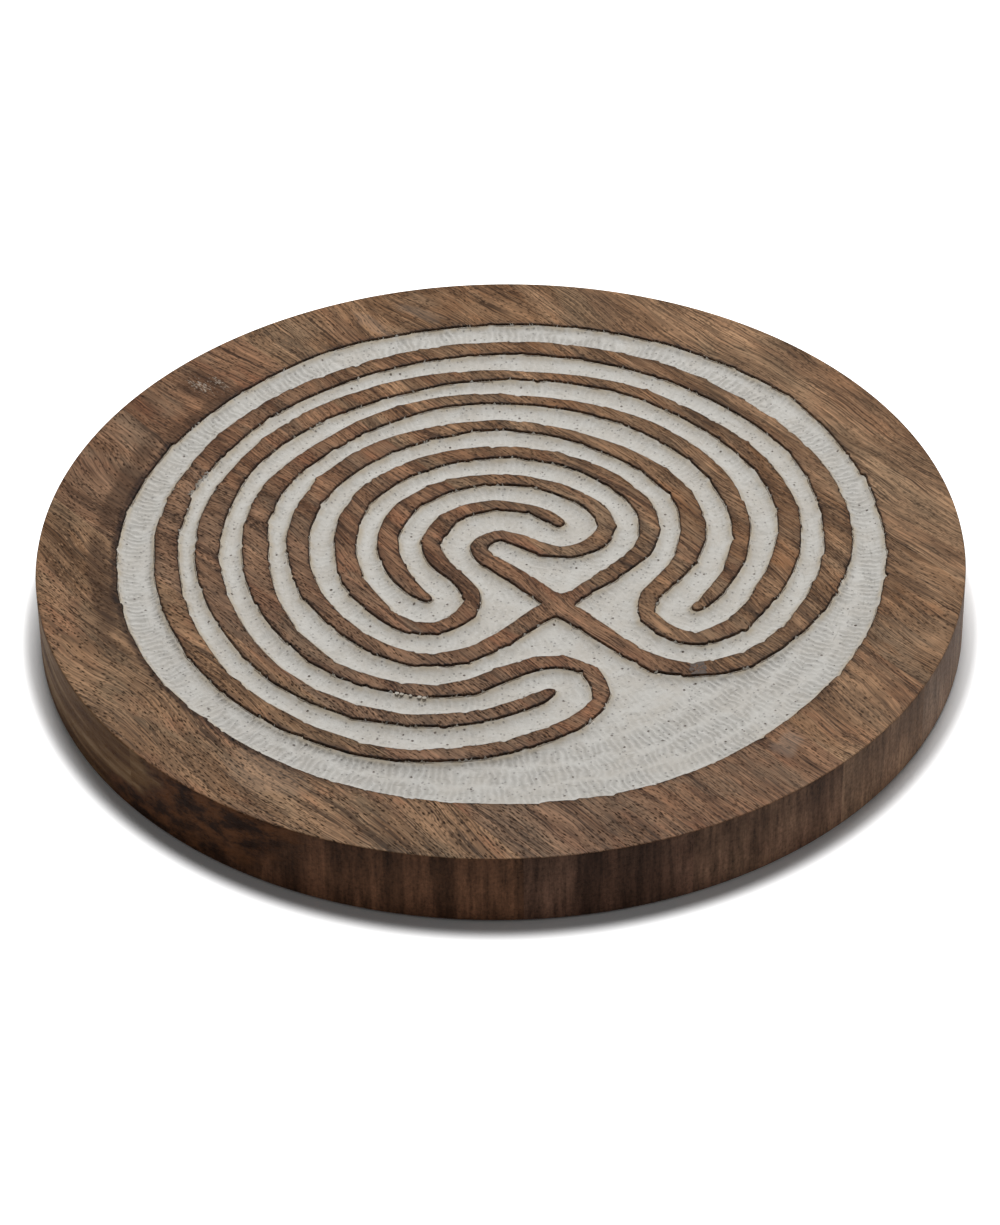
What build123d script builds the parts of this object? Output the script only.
from build123d import *
import math
import os

# Finger labyrinth board.
# A round wooden board glued up from six staves. A winding path is carved down
# into the top face, so that one unbroken ridge of the original surface stands
# between its turns, level with the rim. A thick coat of chalky white paint
# covers the bottom of the path. One small plug of wood filler repairs the ridge.
#
# Frame: millimetres, +Z up, origin at the centre of the flat underside.
# The grain and the glue joints run along Y. The path opens into its widest
# white area on the -Y side.

# ---- board, path and paint ----------------------------------------------
BOARD_DIAMETER = 305.0      # 12 in round
BOARD_THICKNESS = 25.4      # 1 in stock
EDGE_BREAK = 0.6            # chamfer round the wall, top and bottom
PATH_DEPTH = 3.0            # below the top face
PAINT_THICKNESS = 0.5
GLUE_JOINTS = (-93.7, -46.5, 9.9, 54.9, 101.0)   # X of the five glue lines
CUT_MARGIN = 1.0            # outer stave strips reach this far past the board in X
STRIP_LENGTH = BOARD_DIAMETER + 4.0              # along Y, clear of the board

BOARD_RADIUS = BOARD_DIAMETER / 2
PATH_FLOOR = BOARD_THICKNESS - PATH_DEPTH
TOP_PLANE = Plane.XY.offset(BOARD_THICKNESS)
FLOOR_PLANE = Plane.XY.offset(PATH_FLOOR)

# ---- filler plug --------------------------------------------------------
FILLER_CENTRE = (7.0, -88.5)    # on the middle line of ARM_DOWN
FILLER_LENGTH = 5.6             # across the ridge
FILLER_WIDTH = 5.0
FILLER_ANGLE = 53.0             # of its length, from +X
FILLER_DEPTH = 1.6

# ---- outlines -----------------------------------------------------------
# Inner edge of the rim: its radius at even angles (every 15 degrees),
# anticlockwise from +X.
RIM_EDGE_RADII = (
    130, 129, 129, 128.5, 127.5, 128, 126.5, 126, 126, 126.5, 126.5, 126.5,
    126, 126.5, 127, 127, 127.5, 127.5, 126.5, 126, 126.5, 126.5, 127.5, 128,
)

# The ridge is one wall of wood. Four arms leave a cross near the middle of
# the board, and each runs on its own way to a rounded tip. Each is named for
# the way it leaves the cross, seen from above with +Y up.
# Knots on the middle line of an arm: (x, y, width of the ridge there).
ARM_RIGHT = [
    (-5, -34.5, 5.5), (8, -34, 5), (21, -33.5, 6), (39, -29, 6.5), (50, -16, 6.5), (53, 4, 6),
    (46, 27, 5.5), (31, 44, 6), (10, 53, 7), (-11, 53, 7.5), (-30, 43, 7), (-44, 25, 7.5),
    (-50, 2, 6.5), (-48, -12, 5.5), (-37, -19, 5.5), (-26, -16, 6.5), (-20, -5, 4.5), (-19, 11, 6),
    (-9, 22, 7), (5, 24, 5.5), (18, 16, 4.5), (24, -2, 4.5),
]
ARM_UP = [
    (-5, -34.5, 6.5), (-5, -20, 6.5), (-6, -7, 6.5), (-6, 4, 5.5), (1, 8, 5), (7, 3, 5),
    (10, -8, 5.5), (18, -17, 5.5), (30, -17, 6.5), (38, -8, 5.5), (38, 6, 5.5), (29, 25, 5),
    (14, 36, 5.5), (-5, 39, 6.5), (-21, 32, 6.5), (-32, 16, 6.5), (-34.5, -3.5, 4.5),
]
ARM_LEFT = [
    (-5, -34.5, 6.5), (-17, -34.5, 6.5), (-45, -34, 6.5), (-59, -23, 6), (-64, -4, 5.5),
    (-61, 23, 6), (-48, 47, 7), (-30, 62, 7.5), (-5, 69, 8), (22, 65, 7), (43, 54, 5),
    (58, 34, 4.5), (66, 9, 6.5), (65, -17, 7), (54, -35, 8.5), (34, -47, 6.5), (18, -52, 6),
    (12, -64, 5.5), (16, -76, 6), (29, -80, 7), (51, -74, 8), (75, -59, 8), (91, -37, 6.5),
    (98, -10, 6), (97, 14, 5.5), (90, 41, 4.5), (73, 65, 4.5), (52, 83, 6), (26, 94, 7.5),
    (-2, 98, 7.5), (-31, 93, 6.5), (-53, 82, 8), (-74, 62, 8), (-88, 36, 7.5), (-95, 7, 6.5),
    (-93, -19, 6), (-82, -42, 5.5), (-63, -59, 5.5), (-36, -66, 4.5),
]
ARM_DOWN = [
    (-5, -34.5, 7), (-4, -48, 7), (-3, -63, 6.5), (1, -82, 6.5), (7, -88.5, 6.5),
    (16, -93.5, 6.5), (35, -95, 6), (62, -87, 8), (87, -70, 9), (103, -47, 8.5), (112, -21, 6),
    (113, 7, 7), (108, 36, 7), (95, 63, 7), (76, 85, 6.5), (51, 101, 7), (23, 110, 7),
    (-6, 112, 7.5), (-35, 106, 7.5), (-58, 95, 7), (-80, 76, 8), (-97, 51, 8), (-107, 24, 7),
    (-110, -5, 6.5), (-105, -32, 6), (-92, -57, 5), (-70, -74, 6), (-46, -82, 6), (-29, -81, 5),
    (-20, -71, 5), (-22, -58, 5), (-33, -51, 6.5), (-52, -48, 7), (-68, -36, 5.5),
    (-78, -18, 5.5), (-80, 8, 6), (-73, 33, 7.5), (-58, 57, 8), (-37, 75, 7), (-10, 82, 6),
    (17, 82, 7), (43, 73, 5), (61, 57, 4.5), (76, 35, 5.5), (83, 8, 6.5), (80, -20, 6.5),
    (68, -43, 6), (50, -58, 5.5), (27.5, -65, 3.5),
]

CROSS_FILLET = 2.0          # rounding of the inner corners of the cross
FILLET_PULL = 0.293         # inset of a fillet's midpoint in x and y, 1 - cos 45, per radius
EDGE_SPACING = 6.5          # between outline points along an arm
TIP_ANGLES = (-50, 0, 50)   # outline points round a tip, from the arm's heading
SPLINE_STEPS = 20           # most gaps between points in one spline ...
SHORTEST_RUN = 6            # ... unless fewer than this many would be left over


def edge_runs(points):
    """Split a closed row of points into short open rows that share ends."""
    total = len(points)
    start = 0
    while start < total:
        stop = min(start + SPLINE_STEPS, total)
        if total - stop < SHORTEST_RUN:
            stop = total
        yield [points[i % total] for i in range(start, stop + 1)]
        start = stop


def offset_point(origin, heading, ahead, leftward):
    """The point at these distances ahead and to the left of the origin."""
    return (
        origin.X + heading.X * ahead - heading.Y * leftward,
        origin.Y + heading.Y * ahead + heading.X * leftward,
    )


def arm_outline(knots, skip):
    """Points out along the right side of an arm, round its tip, and back.

    The first `skip` millimetres, inside the cross, are left out.
    """
    middle_line = Spline(*[(x, y) for x, y, width in knots], mode=Mode.PRIVATE)
    # distance of each knot from the cross, in straight steps
    distances = [0.0]
    for knot, following in zip(knots, knots[1:]):
        distances.append(distances[-1] + math.dist(knot[:2], following[:2]))
    length = distances[-1]
    steps = round((length - skip) / EDGE_SPACING)

    right_side, left_side = [], []
    for i in range(steps + 1):
        distance = skip + (length - skip) * i / steps
        k = min(sum(d <= distance for d in distances), len(knots) - 1)
        share = (distance - distances[k - 1]) / (distances[k] - distances[k - 1])
        half_width = (knots[k - 1][2] + (knots[k][2] - knots[k - 1][2]) * share) / 2
        centre = middle_line @ (distance / length)
        heading = middle_line % (distance / length)
        right_side.append(offset_point(centre, heading, 0, -half_width))
        left_side.append(offset_point(centre, heading, 0, half_width))

    # the last station is the centre of the rounded tip
    tip = []
    for degrees in TIP_ANGLES:
        angle = math.radians(degrees)
        ahead, leftward = math.cos(angle) * half_width, math.sin(angle) * half_width
        tip.append(offset_point(centre, heading, ahead, leftward))
    return right_side + tip + left_side[::-1]


def ridge_outline():
    """One closed row of points round all four arms, anticlockwise."""
    arms = (ARM_RIGHT, ARM_UP, ARM_LEFT, ARM_DOWN)
    headings = ((1, 0), (0, 1), (-1, 0), (0, -1))
    cross_x, cross_y = ARM_RIGHT[0][:2]
    # half the size of the cross in x and in y, where its bars meet
    half_x, half_y = ARM_UP[0][2] / 2, ARM_RIGHT[0][2] / 2
    pull = FILLET_PULL * CROSS_FILLET
    points = []
    for n, arm in enumerate(arms):
        half_crossing = half_x if n % 2 == 0 else half_y
        points += arm_outline(arm, half_crossing + CROSS_FILLET)
        # inner corner between this arm and the next
        next_heading = headings[(n + 1) % 4]
        side_x = headings[n][0] + next_heading[0]
        side_y = headings[n][1] + next_heading[1]
        points.append((cross_x + side_x * (half_x + pull), cross_y + side_y * (half_y + pull)))
    return points


def rim_outline():
    """Points round the inner edge of the rim, anticlockwise."""
    step = 360 / len(RIM_EDGE_RADII)
    return [
        (r * math.cos(math.radians(step * n)), r * math.sin(math.radians(step * n)))
        for n, r in enumerate(RIM_EDGE_RADII)
    ]


# ---- plans --------------------------------------------------------------
def plan_path():
    """The field inside the rim, less the standing ridge."""
    with BuildSketch() as plan:
        for outline, mode in ((rim_outline(), Mode.ADD), (ridge_outline(), Mode.SUBTRACT)):
            with BuildLine():
                add([Spline(*row, mode=Mode.PRIVATE) for row in edge_runs(outline)])
            make_face(mode=mode)
    return plan.sketch


def plan_filler():
    with BuildSketch() as plan:
        with Locations(Location(FILLER_CENTRE, FILLER_ANGLE)):
            SlotOverall(FILLER_LENGTH, FILLER_WIDTH)
    return plan.sketch


# ---- pieces -------------------------------------------------------------
def build_stave(left, right, path_plan, filler_plan):
    """The strip between two X lines, with its share of rim, floor and ridge."""
    middle, width = (left + right) / 2, right - left
    with BuildPart() as stave:
        # round blank with its edges eased
        with BuildSketch():
            Circle(BOARD_RADIUS)
        extrude(amount=BOARD_THICKNESS)
        chamfer(stave.edges().filter_by(GeomType.CIRCLE), EDGE_BREAK)
        # keep only the strip
        with BuildSketch():
            with Locations((middle, 0)):
                Rectangle(width, STRIP_LENGTH)
        extrude(amount=BOARD_THICKNESS, mode=Mode.INTERSECT)
        # carve the path
        with BuildSketch(TOP_PLANE):
            add(path_plan)
            with Locations((middle, 0)):
                Rectangle(width, STRIP_LENGTH, mode=Mode.INTERSECT)
        extrude(amount=-PATH_DEPTH, mode=Mode.SUBTRACT)
        # pocket for the filler plug, in the stave it falls on
        if left < FILLER_CENTRE[0] < right:
            with BuildSketch(TOP_PLANE):
                add(filler_plan)
            extrude(amount=-FILLER_DEPTH, mode=Mode.SUBTRACT)
    return stave.part


def build_layer(plane, plan, height):
    """A plan raised (or, if negative, sunk) from a plane."""
    with BuildPart() as layer:
        with BuildSketch(plane):
            add(plan)
        extrude(amount=height)
    return layer.part


def save(part, name):
    part.label = name
    export_step(part, f"parts/{name}.step")


os.makedirs("parts", exist_ok=True)
path_plan = plan_path()
filler_plan = plan_filler()

stave_lines = (-BOARD_RADIUS - CUT_MARGIN, *GLUE_JOINTS, BOARD_RADIUS + CUT_MARGIN)
for number, (left, right) in enumerate(zip(stave_lines, stave_lines[1:]), start=1):
    save(build_stave(left, right, path_plan, filler_plan), f"stave_{number}")

save(build_layer(FLOOR_PLANE, path_plan, PAINT_THICKNESS), "path_paint")
save(build_layer(TOP_PLANE, filler_plan, -FILLER_DEPTH), "ridge_filler")
